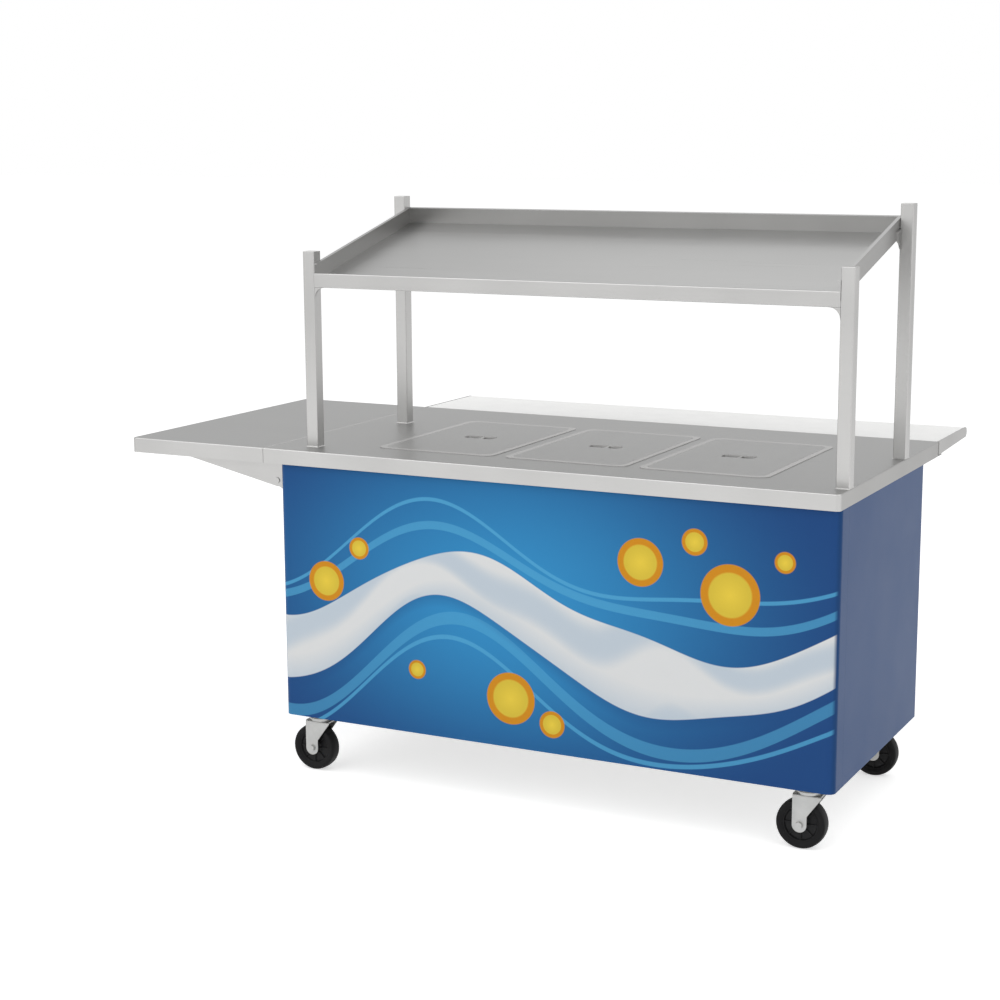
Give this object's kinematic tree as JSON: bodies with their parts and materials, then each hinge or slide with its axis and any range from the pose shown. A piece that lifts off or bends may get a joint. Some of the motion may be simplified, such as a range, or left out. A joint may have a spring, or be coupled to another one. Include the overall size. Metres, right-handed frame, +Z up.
{
  "type": "hot well cart",
  "caption": "Mobile serving counter with drop-in hot wells under lift-off covers, a tilted overhead display tray on posts, drop-leaf shelves and swivel casters.",
  "frame": {"origin": "on the floor under the middle of the cart's overall box", "axes": "+X along the counter towards the end without a shelf, +Y to the operator's side, +Z up"},
  "size_m": [2.071, 1.211, 1.577],
  "materials": {
    "stainless": "satin",
    "galvanised": "galvanised",
    "blue_panel": "printed film, satin",
    "white_board": "matte",
    "caster_steel": "zinc plated",
    "black_rubber": "matte",
    "black_plastic": "moulded",
    "amber_lens": "lens",
    "valve_brass": "machined",
    "red_lever": "painted"
  },
  "bodies": {
    "cart": {"arm_pins": "stainless", "base_frame": "galvanised", "cabinet_floor": "stainless", "cabinet_shelf": "stainless", "caster_plates": "caster_steel", "control_console": "stainless", "counter_top": "stainless", "display_tray": "stainless", "drain_manifold": "valve_brass", "drain_valve": "valve_brass", "end_shelf_arm_brackets": "stainless", "end_shelf_hinge_leaf": "stainless", "end_shelf_hinge_pin": "stainless", "front_panel": "blue_panel", "heating_elements": "galvanised", "left_end_panel": "blue_panel", "pilot_lamps": "amber_lens", "post_caps": "stainless", "post_front_left": "stainless", "post_front_right": "stainless", "post_rear_left": "stainless", "post_rear_right": "stainless", "power_inlet": "black_plastic", "right_end_panel": "blue_panel", "tray_gussets": "stainless", "upper_frame": "galvanised", "well_housing": "galvanised", "well_liner_1": "stainless", "well_liner_2": "stainless", "well_liner_3": "stainless", "work_shelf_arm_brackets": "stainless", "work_shelf_hinge_leaf": "stainless", "work_shelf_hinge_pin": "stainless"},
    "cover_1": {"well_cover_1": "stainless"},
    "cover_2": {"well_cover_2": "stainless"},
    "cover_3": {"well_cover_3": "stainless"},
    "drain_lever": {"drain_lever": "red_lever"},
    "knob_1": {"control_knob_1": "black_plastic"},
    "knob_2": {"control_knob_2": "black_plastic"},
    "knob_3": {"control_knob_3": "black_plastic"},
    "end_shelf": {"end_shelf": "stainless"},
    "end_shelf_arm_front": {"end_shelf_arm_front": "stainless"},
    "end_shelf_arm_rear": {"end_shelf_arm_rear": "stainless"},
    "work_shelf": {"work_shelf_frame": "stainless", "work_board": "white_board"},
    "work_shelf_arm_left": {"work_shelf_arm_left": "stainless"},
    "work_shelf_arm_right": {"work_shelf_arm_right": "stainless"},
    "swivel_front_left": {"caster_fork_front_left": "caster_steel", "caster_axle_front_left": "caster_steel"},
    "wheel_front_left": {"caster_wheel_front_left": "black_rubber"},
    "swivel_front_right": {"caster_fork_front_right": "caster_steel", "caster_axle_front_right": "caster_steel"},
    "wheel_front_right": {"caster_wheel_front_right": "black_rubber"},
    "swivel_rear_left": {"caster_fork_rear_left": "caster_steel", "caster_axle_rear_left": "caster_steel"},
    "wheel_rear_left": {"caster_wheel_rear_left": "black_rubber"},
    "swivel_rear_right": {"caster_fork_rear_right": "caster_steel", "caster_axle_rear_right": "caster_steel"},
    "wheel_rear_right": {"caster_wheel_rear_right": "black_rubber"}
  },
  "joints": [
    {"name": "cover_1_lift", "type": "slide", "parent": "cart", "child": "cover_1", "axis": [0, 0, 1], "range_m": [0, 0.2]},
    {"name": "cover_2_lift", "type": "slide", "parent": "cart", "child": "cover_2", "axis": [0, 0, 1], "range_m": [0, 0.2]},
    {"name": "cover_3_lift", "type": "slide", "parent": "cart", "child": "cover_3", "axis": [0, 0, 1], "range_m": [0, 0.2]},
    {"name": "drain_lever_turn", "type": "hinge", "parent": "cart", "child": "drain_lever", "pos_m": [0.7235, 0.1035, 0.665], "axis": [0, 0, 1], "range_deg": [0, 90]},
    {"name": "knob_1_turn", "type": "hinge", "parent": "cart", "child": "knob_1", "pos_m": [-0.0565, 0.151, 0.8032], "axis": [0, -1, 0], "range_deg": [0, 270]},
    {"name": "knob_2_turn", "type": "hinge", "parent": "cart", "child": "knob_2", "pos_m": [0.2435, 0.151, 0.8032], "axis": [0, -1, 0], "range_deg": [0, 270]},
    {"name": "knob_3_turn", "type": "hinge", "parent": "cart", "child": "knob_3", "pos_m": [0.5435, 0.151, 0.8032], "axis": [0, -1, 0], "range_deg": [0, 270]},
    {"name": "end_shelf_fold", "type": "hinge", "parent": "cart", "child": "end_shelf", "pos_m": [-0.595, -0.2225, 0.8657], "axis": [0, -1, 0], "range_deg": [0, 90]},
    {"name": "end_shelf_arm_front_fold", "type": "hinge", "parent": "cart", "child": "end_shelf_arm_front", "pos_m": [-0.5735, -0.2225, 0.821], "axis": [0, -1, 0], "range_deg": [0, 101.8]},
    {"name": "end_shelf_arm_rear_fold", "type": "hinge", "parent": "cart", "child": "end_shelf_arm_rear", "pos_m": [-0.5735, -0.2225, 0.821], "axis": [0, -1, 0], "range_deg": [0, 101.8]},
    {"name": "work_shelf_fold", "type": "hinge", "parent": "cart", "child": "work_shelf", "pos_m": [0.2435, 0.295, 0.8657], "axis": [-1, 0, 0], "range_deg": [0, 90]},
    {"name": "work_shelf_arm_left_fold", "type": "hinge", "parent": "cart", "child": "work_shelf_arm_left", "pos_m": [0.2435, 0.176, 0.821], "axis": [-1, 0, 0], "range_deg": [0, 91]},
    {"name": "work_shelf_arm_right_fold", "type": "hinge", "parent": "cart", "child": "work_shelf_arm_right", "pos_m": [0.2435, 0.176, 0.821], "axis": [-1, 0, 0], "range_deg": [0, 91]},
    {"name": "swivel_front_left", "type": "hinge", "parent": "cart", "child": "swivel_front_left", "pos_m": [-0.4695, -0.5365, 0.142], "axis": [0, 0, 1], "continuous": true},
    {"name": "roll_front_left", "type": "hinge", "parent": "swivel_front_left", "child": "wheel_front_left", "pos_m": [-0.4875, -0.5365, 0.065], "axis": [0, 1, 0], "continuous": true},
    {"name": "swivel_front_right", "type": "hinge", "parent": "cart", "child": "swivel_front_right", "pos_m": [0.9565, -0.5365, 0.142], "axis": [0, 0, 1], "continuous": true},
    {"name": "roll_front_right", "type": "hinge", "parent": "swivel_front_right", "child": "wheel_front_right", "pos_m": [0.9385, -0.5365, 0.065], "axis": [0, 1, 0], "continuous": true},
    {"name": "swivel_rear_left", "type": "hinge", "parent": "cart", "child": "swivel_rear_left", "pos_m": [-0.4695, 0.0915, 0.142], "axis": [0, 0, 1], "continuous": true},
    {"name": "roll_rear_left", "type": "hinge", "parent": "swivel_rear_left", "child": "wheel_rear_left", "pos_m": [-0.4875, 0.0915, 0.065], "axis": [0, 1, 0], "continuous": true},
    {"name": "swivel_rear_right", "type": "hinge", "parent": "cart", "child": "swivel_rear_right", "pos_m": [0.9565, 0.0915, 0.142], "axis": [0, 0, 1], "continuous": true},
    {"name": "roll_rear_right", "type": "hinge", "parent": "swivel_rear_right", "child": "wheel_rear_right", "pos_m": [0.9385, 0.0915, 0.065], "axis": [0, 1, 0], "continuous": true}
  ],
  "couplings": [
    {"joint": "end_shelf_arm_front_fold", "follows": "end_shelf_fold", "ratio": 1.12},
    {"joint": "end_shelf_arm_rear_fold", "follows": "end_shelf_fold", "ratio": 1.12},
    {"joint": "work_shelf_arm_left_fold", "follows": "work_shelf_fold", "ratio": 1},
    {"joint": "work_shelf_arm_right_fold", "follows": "work_shelf_fold", "ratio": 1}
  ]
}
